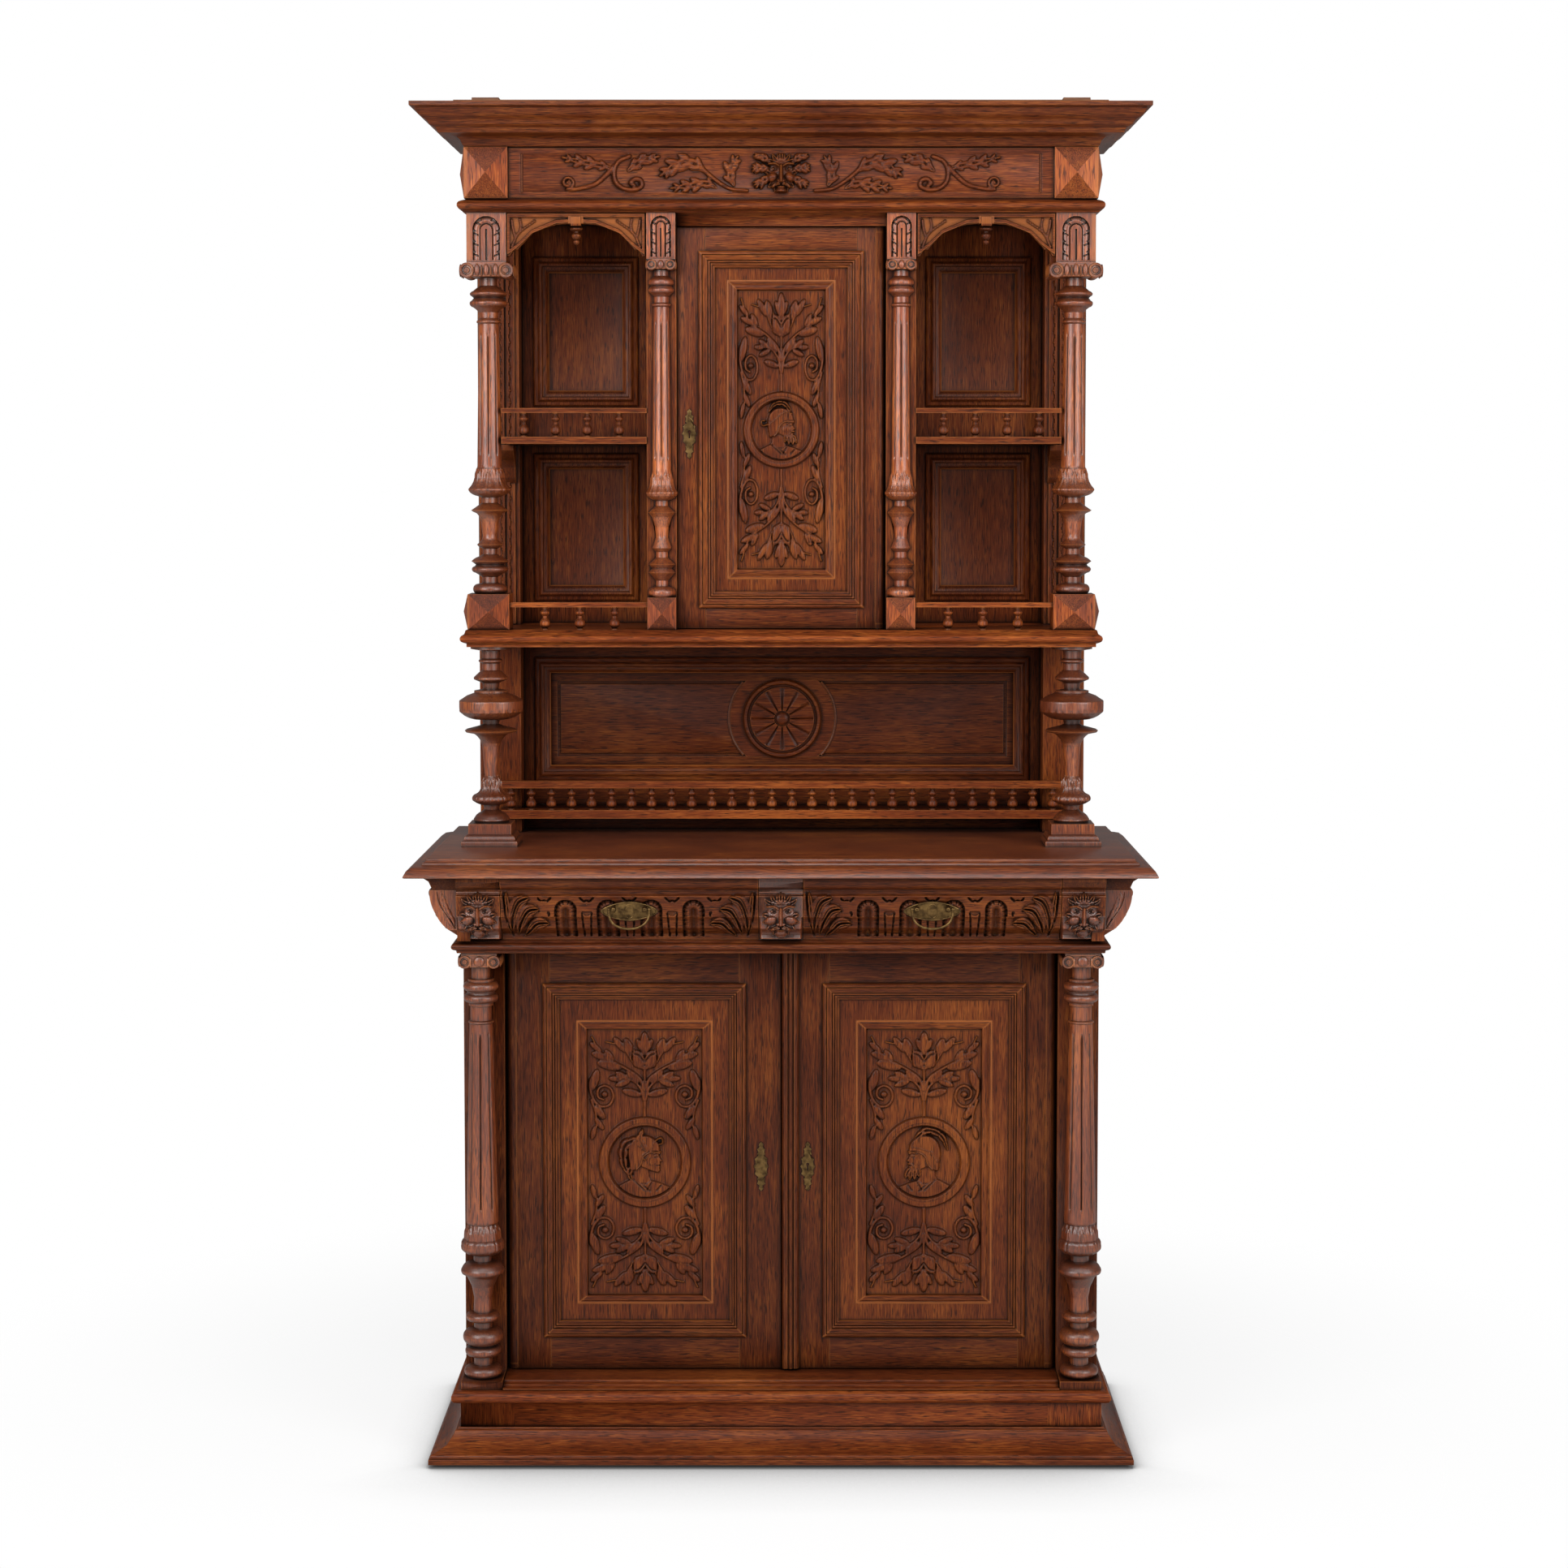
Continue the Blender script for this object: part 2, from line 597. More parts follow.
def pivot_hole(x, y, z, radius):
    """The bore for a pivot pin."""
    return round_bar("z", (x, y), radius + PIN_GAP, z - PIVOT_DEPTH - PIN_GAP, z + PIVOT_DEPTH + PIN_GAP)


def pivot_shape(x, y, low, high):
    """A pin with a thin collar between the fixed wood and the door."""
    mid = (low + high) / 2.0
    pin = round_bar("z", (x, y), PIVOT_R, mid - PIVOT_DEPTH, mid + PIVOT_DEPTH)
    return fuse(pin, round_bar("z", (x, y), PIVOT_COLLAR_R, low + GAP, high - GAP))


HINGE_X = POST_IN - SWING_GAP - DOOR_T / 2.0
HINGE_Y = BODY_FRONT_Y + DOOR_RECESS + DOOR_T / 2.0
DOOR_LOW = Z_FLOOR + SWING_GAP + 2 * GAP
DOOR_HIGH = Z_RAIL - SWING_GAP - 2 * GAP
UPPER_HINGE_X = STILE_INNER - SWING_GAP - UPPER_DOOR_T / 2.0
UPPER_HINGE_Y = STILE_FRONT_Y + UPPER_DOOR_RECESS + UPPER_DOOR_T / 2.0
UPPER_DOOR_LOW = Z_UPPER + SWING_GAP + 2 * GAP
DROP_RAIL_Z = Z_ENTABLATURE - DROP_RAIL_H
UPPER_DOOR_HIGH = DROP_RAIL_Z - SWING_GAP - 2 * GAP


def floor_shape():
    """The cupboard floor with its stepped sill in front."""
    z0, z1 = Z_TORUS + GAP, Z_FLOOR
    edge = [(BACK_Y - BACK_T - GAP, z0), (PLINTH_FRONT_Y - 0.004, z0), (PLINTH_FRONT_Y - 0.004, z0 + 0.0025),
            (PLINTH_FRONT_Y + 0.004, z0 + 0.0035, -0.35), (PLINTH_FRONT_Y + 0.010, z0 + 0.0070),
            (PLINTH_FRONT_Y + 0.017, z0 + 0.0075, -0.35), (PLINTH_FRONT_Y + 0.022, z1 - 0.0002),
            (PLINTH_FRONT_Y + 0.026, z1), (BACK_Y - BACK_T - GAP, z1)]
    wide = BODY_HALF - SIDE_T - GAP
    behind_posts = box(-wide, wide, BODY_FRONT_Y + POST_D + GAP, BACK_Y - BACK_T - GAP, z0, z1)
    board = fuse(along_x(edge, -(POST_IN - GAP), POST_IN - GAP), behind_posts)
    holes = Shape()
    for side in (-1, 1):
        holes.add(pivot_hole(side * HINGE_X, HINGE_Y, Z_FLOOR, PIVOT_R))
    return cut(board, holes)


def rail_shape():
    """The moulded board under the drawers, with a back rail behind them."""
    p = RAIL_PROJECTION
    edge = [(0.0035, Z_RAIL), (0.0045, Z_RAIL + 0.0050), (p - 0.0040, Z_RAIL + 0.0065, -0.70),
            (p - 0.0040, Z_RAIL + 0.0175), (0.0055, Z_RAIL + 0.0185), (0.0025, Z_FRIEZE)]
    board = moulded_board(edge, BODY_HALF, PLINTH_FRONT_Y + 0.001, BACK_Y)
    back = box(-(BODY_HALF - SIDE_T - 0.002), BODY_HALF - SIDE_T - 0.002, BACK_Y - 0.018, BACK_Y,
               Z_FRIEZE - 0.004, Z_WORKTOP - GAP)
    holes = Shape()
    for side in (-1, 1):
        holes.add(pivot_hole(side * HINGE_X, HINGE_Y, Z_RAIL, PIVOT_R))
    return cut(fuse(board, back), holes)


def frieze_corner_shape(side):
    """The swelling side frieze with the corner block that carries a mask."""
    z = Z_FRIEZE
    swell = [(BODY_HALF - SIDE_T, z + GAP), (BODY_HALF + 0.0005, z + GAP), (BODY_HALF + 0.0005, z + 0.0108, -0.10),
             (BODY_HALF + 0.021, z + 0.0238, -0.12), (BODY_HALF + 0.0376, z + 0.0458, -0.14),
             (BODY_HALF + 0.0495, z + 0.0828, -0.35), (BODY_HALF + 0.045, z + 0.0938, 0.30),
             (BODY_HALF + 0.060, z + 0.1110), (BODY_HALF + 0.060, Z_WORKTOP - GAP),
             (BODY_HALF - SIDE_T, Z_WORKTOP - GAP)]
    ear = along_y(swell, EAR_FRONT_Y, BACK_Y)
    block = along_x(frieze_line() + [(-0.150, Z_WORKTOP - GAP), (-0.150, z + GAP)],
                    BODY_HALF - 2 * MASK_HALF, BODY_HALF - 0.0003)
    return fuse(block, ear).flipped(side)


def mask_block_shape():
    """The middle block between the drawers with the guide that runs to the back."""
    block = along_x(frieze_line() + [(-0.150, Z_WORKTOP - GAP), (-0.150, Z_FRIEZE + GAP)], -MASK_HALF, MASK_HALF)
    guide = box(-DIVIDER_T / 2.0, DIVIDER_T / 2.0, -0.155, BACK_Y - 0.018 - GAP, Z_FRIEZE + GAP + 0.0001,
                Z_WORKTOP - GAP - 0.0001)
    return fuse(block, guide)


def worktop_shape():
    """The moulded worktop."""
    edge = [(-0.0030, Z_WORKTOP), (0.0, Z_WORKTOP + 0.0010), (0.0, Z_WORKTOP + 0.0030, -0.36),
            (-0.0230, Z_WORKTOP + 0.0190), (-0.0290, Z_WORKTOP + 0.0195), (-0.0305, Z_WORKTOP + 0.0235, 0.35),
            (-0.0370, Z_TOP)]
    return moulded_board(edge, WORKTOP_HALF, WORKTOP_FRONT_Y, BACK_Y)


def base_column_shape(side):
    """A turned base column with its scrolled capital."""
    bottom = Z_TORUS + GAP + COLUMN_BLOCK_H
    top = Z_RAIL - GAP
    x, y = BASE_COLUMN_X, BASE_COLUMN_Y
    shaft = turned(pillar(BASE_COLUMN_HIGH, BASE_COLUMN_LOW, top + 0.002, bottom), x, y)
    head = fuse(ionic_capital(x, y, top - 0.0290, top - 0.0040, 0.0370, 0.030),
                box(x - 0.0310, x + 0.0310, y - 0.0310, y + 0.0310, top - 0.0060, top))
    return fuse(shaft, head).flipped(side)


def bay_column_shape(side):
    """A turned bay column on its moulded square plinth."""
    x, y = UPPER_COLUMN_X, UPPER_COLUMN_Y
    shaft = turned(pillar(BAY_COLUMN_HIGH, BAY_COLUMN_LOW, Z_SHELF, Z_TOP), x, y)
    rings = []
    for r, z in trace(BAY_PLINTH):
        rings.append([(x - r, y - r, Z_TOP + z), (x + r, y - r, Z_TOP + z), (x + r, y + r, Z_TOP + z),
                      (x - r, y + r, Z_TOP + z)])
    rings[-1] = [(a, b, c + 0.0010) for a, b, c in rings[-1]]
    return fuse(shaft, loops(rings)).flipped(side)


def upper_column_shape(side):
    """A turned niche column between a diamond block and a panelled top block."""
    x, y = UPPER_COLUMN_X, UPPER_COLUMN_Y
    foot_top = Z_UPPER + GAP + DIAMOND_BLOCK_H
    cap_low = Z_ENTABLATURE - GAP - CAPITAL_BLOCK_H
    h = UPPER_BLOCK_HALF
    foot = diamond(x - h, x + h, y - h, y + h, Z_UPPER + GAP, foot_top, 1)
    head = box(x - TOP_BLOCK_HALF, x + TOP_BLOCK_HALF, y - TOP_BLOCK_HALF, y + TOP_BLOCK_HALF,
               cap_low - 0.002, Z_ENTABLATURE - GAP)
    capital = ionic_capital(x, y, cap_low - CAPITAL_H, cap_low, 0.0480, 0.0390)
    shaft = turned(pillar(UPPER_COLUMN_HIGH, UPPER_COLUMN_LOW, cap_low + 0.004, foot_top - 0.001), x, y)
    return fuse(shaft, capital, head, foot).flipped(side)


def half_column(x, y):
    """The slim applied column on a cupboard stile, as a full turning let into the stile."""
    foot_top = Z_UPPER + GAP + 0.0575
    cap_low = Z_ENTABLATURE - GAP - 0.0815
    foot = box(x - 0.0255, x + 0.0255, y - 0.0200, y + 0.0050, Z_UPPER + GAP, foot_top)
    tip = len(foot.verts)
    faces = []
    for face in foot.faces:
        if all(abs(foot.verts[i][1] - (y - 0.0200)) < 1e-9 for i in face):
            faces += [(face[k], face[(k + 1) % 4], tip) for k in range(4)]
        else:
            faces.append(face)
    foot.verts.append((x, y - 0.0270, Z_UPPER + GAP + 0.0287))
    foot.faces = faces
    head = box(x - 0.0255, x + 0.0255, y - 0.0200, y + 0.0050, cap_low - 0.002, Z_ENTABLATURE - GAP)
    capital = ionic_capital(x, y - 0.0060, cap_low - 0.0200, cap_low, 0.0260, 0.0170)
    shaft = turned(pillar(HALF_COLUMN_HIGH, HALF_COLUMN_LOW, cap_low + 0.014, foot_top - 0.001), x, y)
    return fuse(shaft, capital, head, foot)


def cupboard_side_shape(side):
    """A cupboard side wall with its front stile and applied column."""
    z0, z1 = Z_UPPER + GAP, Z_ENTABLATURE - GAP
    wall = box(STILE_OUT - CUPBOARD_WALL, STILE_OUT - 0.0002, STILE_FRONT_Y + 0.010, BACKBOARD_Y - GAP,
               z0 + 0.0001, z1 - 0.0001)
    stile = box(STILE_INNER, STILE_OUT, STILE_FRONT_Y, STILE_FRONT_Y + STILE_T, z0, z1)
    clear = box(STILE_INNER - 0.03, STILE_OUT + 0.03, STILE_FRONT_Y + STILE_T - 0.002, BACKBOARD_Y, z0 - 0.01, z1 + 0.01)
    column = cut(half_column(STILE_MID, STILE_FRONT_Y), clear)
    return fuse(stile, wall, column).flipped(side)


def middle_shelf_shape():
    """The moulded middle shelf with a small gallery in front of each niche."""
    n = SHELF_NOSE
    edge = [(-0.0035, Z_SHELF), (-0.0035, Z_SHELF + 0.0060), (n - 0.0060, Z_SHELF + 0.0085, -0.70),
            (n - 0.0060, Z_SHELF + 0.0215), (0.0, Z_SHELF + 0.0235), (-0.0020, Z_UPPER)]
    board = moulded_board(edge, UPPER_HALF + 0.004, UPPER_FRONT_Y - 0.009, BACK_Y)
    notches = Shape()
    for side in (-1, 1):
        inner, outer = REAR_POST_IN - GAP, UPPER_HALF + 0.05
        notches.add(box(inner, outer, REAR_POST_FRONT_Y - GAP, BACK_Y + 0.01, Z_SHELF - 0.01,
                        Z_UPPER + 0.01).flipped(side))
    notches.add(pivot_hole(UPPER_HINGE_X, UPPER_HINGE_Y, Z_UPPER, PIVOT_R))
    board = cut(board, notches)
    spindles = Shape()
    rails = Shape()
    y = UPPER_FRONT_Y + 0.012
    for side in (-1, 1):
        inner, outer = STILE_OUT + GAP, UPPER_COLUMN_X - UPPER_BLOCK_HALF - GAP
        spindles.add(spindle_row(inner + LOW_SPINDLE_INNER, outer - LOW_SPINDLE_OUTER, LOW_SPINDLES, y,
                                 Z_UPPER, SPINDLE_H).flipped(side))
        rails.add(box(inner, outer, y - 0.007, y + 0.007, Z_UPPER + SPINDLE_H,
                      Z_UPPER + SPINDLE_H + GALLERY_RAIL).flipped(side))
    return fuse(board, spindles, rails)


def niche_shelf_shape(side):
    """A niche shelf with its gallery of four spindles."""
    z0 = Z_UPPER + NICHE_SHELF_RISE
    z1 = z0 + NICHE_SHELF_T
    inner = STILE_OUT + GAP
    outer = UPPER_COLUMN_X - 0.0230
    y = NICHE_SHELF_FRONT_Y
    board = box(inner, outer, y, REAR_POST_FRONT_Y - GAP, z0, z1)
    tail = box(inner + 0.0001, REAR_POST_IN - GAP, REAR_POST_FRONT_Y - 0.01, BACKBOARD_Y - GAP, z0 + 0.0001, z1 - 0.0001)
    row = spindle_row(inner + NICHE_SPINDLE_INNER, outer - NICHE_SPINDLE_OUTER, NICHE_SPINDLES, y + 0.009,
                      z1, NICHE_SPINDLE_H)
    rail = box(inner, outer, y + 0.002, y + 0.016, z1 + NICHE_SPINDLE_H, z1 + NICHE_SPINDLE_H + GALLERY_RAIL)
    return fuse(fuse(board, tail), row, rail).flipped(side)


def rear_post_shape(side):
    """A rear post with a scrolled bracket under the niche shelf."""
    post = box(REAR_POST_IN, UPPER_HALF, REAR_POST_FRONT_Y, BACK_Y, Z_TOP + GAP, Z_ENTABLATURE - GAP)
    top = Z_UPPER + NICHE_SHELF_RISE - GAP
    y = REAR_POST_FRONT_Y
    bracket = along_x([(y + 0.005, top), (y + 0.005, top - 0.070), (y - 0.006, top - 0.070), (y - 0.014, top - 0.060, -0.25),
                       (y - 0.030, top - 0.028, 0.25), (y - 0.060, top - 0.010), (y - 0.060, top)],
                      REAR_POST_IN + 0.006, REAR_POST_IN + 0.046)
    return fuse(post, bracket).flipped(side)


def bolection(width, height):
    """The section of a bolection moulding that laps a frame, as (inset, forward)."""
    return [(0.0, -0.002), (0.0, height * 0.35), (width * 0.10, height * 0.55, -0.30), (width * 0.42, height),
            (width * 0.55, height * 0.95), (width * 0.60, height * 0.55, 0.22), (width * 0.90, height * 0.10),
            (width, -0.002)]


def bay_ring():
    """The outer rectangle of the bay moulding as (half width, bottom, top)."""
    return REAR_POST_IN - BAY_RING_SIDE, Z_TOP + BAY_RING_LOW, Z_SHELF - BAY_RING_TOP


def backboard_frame_shape():
    """The frame of the bay backboard with its bolection moulding."""
    y = BACKBOARD_Y
    edge = REAR_POST_IN - GAP
    half, low, high = bay_ring()
    lap = BAY_RING_LAP
    opening = box(-half + lap, half - lap, y - 0.05, BACK_Y + 0.05, low + lap, high - lap)
    board = cut(box(-edge, edge, y, BACK_Y, Z_TOP + GAP, Z_SHELF - GAP), opening)
    return fuse(board, ring_frame(bolection(BOLECTION_W, BAY_RING_H), -half, half, low, high, y))


def backboard_panel_shape():
    """The bay panel with its grooved field and a turned rosette."""
    y = BACKBOARD_Y + BAY_PANEL_RECESS
    half, low, high = bay_ring()
    lap = BAY_RING_LAP + GAP
    panel = box(-half + lap, half - lap, y, BACK_Y - 0.010, low + lap, high - lap)
    deep, wide = BAY_GROOVE_DEPTH, BAY_GROOVE_W
    groove = ring_frame([(0.0, -deep), (0.0, 0.01), (wide, 0.01), (wide, -deep)],
                        -half + BAY_GROOVE_SIDE, half - BAY_GROOVE_SIDE,
                        low + BAY_GROOVE_RAIL, high - BAY_GROOVE_RAIL, y)
    z = (low + high) / 2.0
    count = 28
    skin = []
    for r, yy in ((ROSETTE_R + 0.0026, y + 0.003), (ROSETTE_R, y - 0.0045), (ROSETTE_R - 0.0044, y - 0.0045),
                  (ROSETTE_R - 0.0074, y - 0.0015), (ROSETTE_R - 0.0114, y - 0.0015), (0.012, y - 0.0040),
                  (0.0060, y - 0.0060)):
        skin.append([(r * math.cos(2 * math.pi * k / count), yy, z + r * math.sin(2 * math.pi * k / count))
                     for k in range(count)])
    return fuse(cut(panel, groove), loops(skin))


def long_gallery_shape():
    """The plate ledge in front of the backboard with its row of spindles."""
    z0 = Z_TOP + LEDGE_RISE
    z1 = z0 + LEDGE_T
    y = LEDGE_FRONT_Y
    half = UPPER_COLUMN_X
    ledge = box(-half, half, y, REAR_POST_FRONT_Y - GAP, z0, z1)
    tail = box(-(REAR_POST_IN - GAP), REAR_POST_IN - GAP, REAR_POST_FRONT_Y - 0.02, BACKBOARD_Y - GAP,
               z0 + 0.0001, z1 - 0.0001)
    end = half - LONG_SPINDLE_END
    row = spindle_row(-end, end, LONG_SPINDLES, y + 0.011, z1, SPINDLE_H)
    rail = box(-half, half, y + 0.002, y + 0.020, z1 + SPINDLE_H, z1 + SPINDLE_H + LONG_RAIL_H)
    return fuse(fuse(ledge, tail), row, rail)


def upper_back_shape():
    """The panelled back of the niches and the cupboard."""
    half = REAR_POST_IN - GAP
    y = BACKBOARD_Y
    board = box(-half, half, y, BACK_Y, Z_UPPER + GAP, Z_ENTABLATURE - GAP)
    shelf_z = Z_UPPER + NICHE_SHELF_RISE
    x0, x1 = STILE_OUT + NICHE_RING_INNER, REAR_POST_IN - NICHE_RING_OUTER
    lap = NICHE_RING_LAP
    sunk = Shape()
    rings = Shape()
    for side in (-1, 1):
        for low, high in ((Z_UPPER + NICHE_RING_LOW, shelf_z - NICHE_RING_UNDER),
                          (shelf_z + NICHE_SHELF_T + NICHE_RING_OVER, Z_ENTABLATURE - NICHE_RING_TOP)):
            sunk.add(box(x0 + lap, x1 - lap, y - 0.02, y + 0.010, low + lap, high - lap).flipped(side))
            rings.add(ring_frame(bolection(BOLECTION_W, NICHE_RING_H), x0, x1, low, high, y).flipped(side))
    return fuse(cut(board, sunk), rings)


def arch_shape(side):
    """The pierced arch over a niche with a turned drop in the middle."""
    inner = STILE_OUT + GAP
    outer = UPPER_COLUMN_X - TOP_BLOCK_HALF - GAP
    mid = (inner + outer) / 2.0
    top = Z_ENTABLATURE - GAP
    low = top - 0.0765
    half = (outer - inner) / 2.0
    spring = top - 0.0690
    outline = [(inner, top), (inner, low), (inner + 0.006, low), (inner + 0.010, low + 0.008, 0.4),
               (inner + 0.020, spring + 0.004), (inner + 0.024, spring + 0.010, 0.30), (mid - half * 0.28, top - 0.0205),
               (mid - half * 0.12, top - 0.0190), (mid + half * 0.12, top - 0.0190),
               (mid + half * 0.28, top - 0.0205, 0.30), (outer - 0.024, spring + 0.010), (outer - 0.020, spring + 0.004, 0.4),
               (outer - 0.010, low + 0.008), (outer - 0.006, low), (outer, low), (outer, top)]
    y0 = UPPER_FRONT_Y + 0.006
    board = along_y(outline, y0, y0 + ARCH_T)
    drop = turned([(0.0050, -0.0150), (0.0050, -0.0230), (0.0100, -0.0260), (0.0100, -0.0300), (0.0040, -0.0330, 0.30),
                   (0.0080, -0.0390, 0.30), (0.0030, -0.0470), (0.0050, -0.0490, 0.40), (0.0010, -0.0560)],
                  mid, y0 + ARCH_T / 2.0, base=top, segments=8)
    return fuse(board, drop).flipped(side)


def entablature_shape():
    """The frieze box with its torus, corner diamonds, soffit and door head rail."""
    z0, z1 = Z_ENTABLATURE, Z_CORNICE
    wall = ENTABLATURE_WALL
    section = [(-wall, z0), (0.002, z0), (0.003, z0 + 0.0040), (0.006, z0 + 0.0045, -0.8), (0.006, z0 + 0.0200),
               (-0.0050, z0 + 0.0238), (-0.0070, z0 + 0.0240), (-0.0070, z1), (-wall, z1)]
    frame = around_front(section, UPPER_HALF, UPPER_FRONT_Y, BACK_Y)
    soffit = box(-(UPPER_HALF - 0.010), UPPER_HALF - 0.010, UPPER_FRONT_Y + 0.012, BACK_Y - 0.0005,
                 z0 + 0.0005, z0 + 0.0120)
    rail = box(-(STILE_INNER - GAP), STILE_INNER - GAP, STILE_FRONT_Y + 0.0005, STILE_FRONT_Y + STILE_T,
               z0 - DROP_RAIL_H, z0 + 0.003)
    rail = cut(rail, pivot_hole(UPPER_HINGE_X, UPPER_HINGE_Y, DROP_RAIL_Z, PIVOT_R))
    blocks = Shape()
    x0, x1 = UPPER_HALF - 0.077, UPPER_HALF
    for side in (-1, 1):
        blocks.add(diamond(x0, x1, UPPER_FRONT_Y, UPPER_FRONT_Y + 0.077, z0 + 0.0242, z1 - 0.0002, 1).flipped(side))
    return fuse(frame, soffit, rail, blocks)


def cornice_shape():
    """The projecting cornice round the front and the ends."""
    z = Z_CORNICE + GAP
    section = [(-ENTABLATURE_WALL, z), (0.0, z), (0.0020, z + 0.0020, 0.35), (0.0209, z + 0.0190), (0.0409, z + 0.0200),
               (0.0450, z + 0.0285), (0.0554, z + 0.0335), (0.0560, z + 0.0360, 0.22), (0.0660, z + 0.0445, -0.22),
               (0.0760, z + 0.0560), (0.0780, z + 0.0600), (0.0864, z + 0.0625), (0.0864, Z_ROOF), (-ENTABLATURE_WALL, Z_ROOF)]
    return around_front(section, UPPER_HALF, UPPER_FRONT_Y, BACK_Y)


def top_board_shape():
    """The dust board on the cornice with the ends of its four glue blocks."""
    half = UPPER_HALF + TOP_OVERHANG
    z0 = Z_ROOF + GAP
    board = box(-half, half, UPPER_FRONT_Y - TOP_FRONT_OVERHANG, BACK_Y - 0.0005, z0, z0 + TOP_T)
    y = UPPER_FRONT_Y + 0.004
    wide = UPPER_HALF - 0.014
    blocks = Shape()
    for side in (-1, 1):
        blocks.add(box(wide - GLUE_BLOCK_W, wide, y, y + GLUE_BLOCK_L, z0 + TOP_T - 0.002,
                       z0 + TOP_T + TOP_BLOCK_H).flipped(side))
        blocks.add(box(STILE_INNER - THIN_BLOCK_W, STILE_INNER, y, y + THIN_BLOCK_L, z0 + TOP_T - 0.002,
                       z0 + TOP_T + TOP_BLOCK_H / 2.0).flipped(side))
    return fuse(board, blocks)


def door_ring(side):
    """The outer rectangle of a base door's moulding as (x0, x1, z0, z1), for the right-hand side of the cabinet."""
    shift = COVER_SHIFT if side > 0 else 0.0
    return (DOOR_MEET + DOOR_MEET_STILE + shift, HINGE_X + DOOR_T / 2.0 - DOOR_HINGE_STILE + shift,
            Z_FLOOR + DOOR_LOW_RAIL, Z_RAIL - DOOR_TOP_RAIL)


def upper_ring():
    """The outer rectangle of the upper door's moulding as (x0, x1, z0, z1)."""
    half = STILE_INNER - SWING_GAP - UPPER_DOOR_STILE
    return -half, half, Z_UPPER + UPPER_LOW_RAIL, DROP_RAIL_Z - UPPER_TOP_RAIL


def inset(rect, side, low, high):
    """A rectangle drawn in by its margins."""
    return rect[0] + side, rect[1] - side, rect[2] + low, rect[3] - high


def leaf_shape(x0, hinge_x, hinge_y, thick, low, high, ring):
    """A door leaf, round on its hinge edge, open behind its bolection."""
    y0, y1 = hinge_y - thick / 2.0, hinge_y + thick / 2.0
    leaf = box(x0, hinge_x, y0, y1, low, high)
    edge = round_bar("z", (hinge_x, hinge_y), thick / 2.0, low + 0.00005, high - 0.00005, 16)
    rect = inset(ring, BOLECTION_LAP, BOLECTION_LAP, BOLECTION_LAP)
    opening = box(rect[0], rect[1], y0 - 0.05, y1 + 0.05, rect[2], rect[3])
    leaf = cut(fuse(leaf, edge), opening)
    leaf = fuse(leaf, ring_frame(bolection(BOLECTION_W, BOLECTION_H), *ring, y0))
    holes = Shape()
    holes.add(pivot_hole(hinge_x, hinge_y, low, PIVOT_R))
    holes.add(pivot_hole(hinge_x, hinge_y, high, PIVOT_R))
    return cut(leaf, holes)


def door_frame_shape(side):
    """A base door frame with its bolection; the right one carries the cover strip."""
    leaf = leaf_shape(DOOR_MEET, HINGE_X, HINGE_Y, DOOR_T, DOOR_LOW, DOOR_HIGH, door_ring(side))
    if side < 0:
        return leaf.flipped(side)
    x, y = DOOR_MEET, HINGE_Y - DOOR_T / 2.0
    strip = [(x + 0.0001, y + 0.004), (x + 0.0001, y - 0.007), (x + 0.003, y - ASTRAGAL_T),
             (x + 0.011, y - ASTRAGAL_T), (x + 0.013, y - 0.0135, 0.6), (x + 0.018, y - 0.0135),
             (x + 0.020, y - ASTRAGAL_T), (x + 0.025, y - 0.010), (x + ASTRAGAL_W, y - 0.003),
             (x + ASTRAGAL_W, y + 0.004)]
    pts = trace(strip)
    cover = loops([[(a, b, DOOR_LOW + 0.0020) for a, b in pts], [(a, b, DOOR_HIGH - 0.0020) for a, b in pts]])
    return fuse(leaf, cover)


def carved_panel(ring, face_y, back_y, border, field, medallion):
    """A panel with a raised border, a sunk carving field and a medallion ring."""
    rect = inset(ring, BOLECTION_LAP + GAP, BOLECTION_LAP + GAP, BOLECTION_LAP + GAP)
    panel = box(rect[0], rect[1], face_y, back_y, rect[2], rect[3])
    front_y = face_y - BORDER_RISE
    floor_y = front_y + FIELD_SINK
    panel = fuse(panel, box(border[0], border[1], front_y, face_y + 0.002, border[2], border[3]))
    panel = cut(panel, box(field[0], field[1], front_y - 0.02, floor_y, field[2], field[3]))
    mid, centre = (field[0] + field[1]) / 2.0, (field[2] + field[3]) / 2.0
    outer, inner = medallion
    count = 28
    skin = []
    for r, y in ((outer, floor_y + 0.002), (outer, floor_y - 0.0045), (outer - 0.004, floor_y - 0.0065),
                 (inner + 0.004, floor_y - 0.0065), (inner, floor_y - 0.0040), (inner - 0.004, floor_y - 0.0005),
                 (inner * 0.45, floor_y - 0.0030), (inner * 0.15, floor_y - 0.0040)):
        skin.append([(mid + r * math.cos(2 * math.pi * k / count), y, centre + r * math.sin(2 * math.pi * k / count))
                     for k in range(count)])
    return fuse(panel, loops(skin))


def door_panel_shape(side):
    """The carved panel of a base door."""
    face = HINGE_Y - DOOR_T / 2.0 + PANEL_RECESS
    ring = door_ring(side)
    border = inset(ring, BORDER_SIDE_INSET, BORDER_LOW_INSET, BORDER_TOP_INSET)
    field = inset(border, BORDER_SIDE_W, BORDER_RAIL_W, BORDER_RAIL_W)
    return carved_panel(ring, face, face + PANEL_T, border, field, (MEDALLION_R, MEDALLION_IN)).flipped(side)


def upper_door_frame_shape():
    """The upper door frame with its bolection."""
    return leaf_shape(-(STILE_INNER - SWING_GAP), UPPER_HINGE_X, UPPER_HINGE_Y, UPPER_DOOR_T,
                      UPPER_DOOR_LOW, UPPER_DOOR_HIGH, upper_ring())


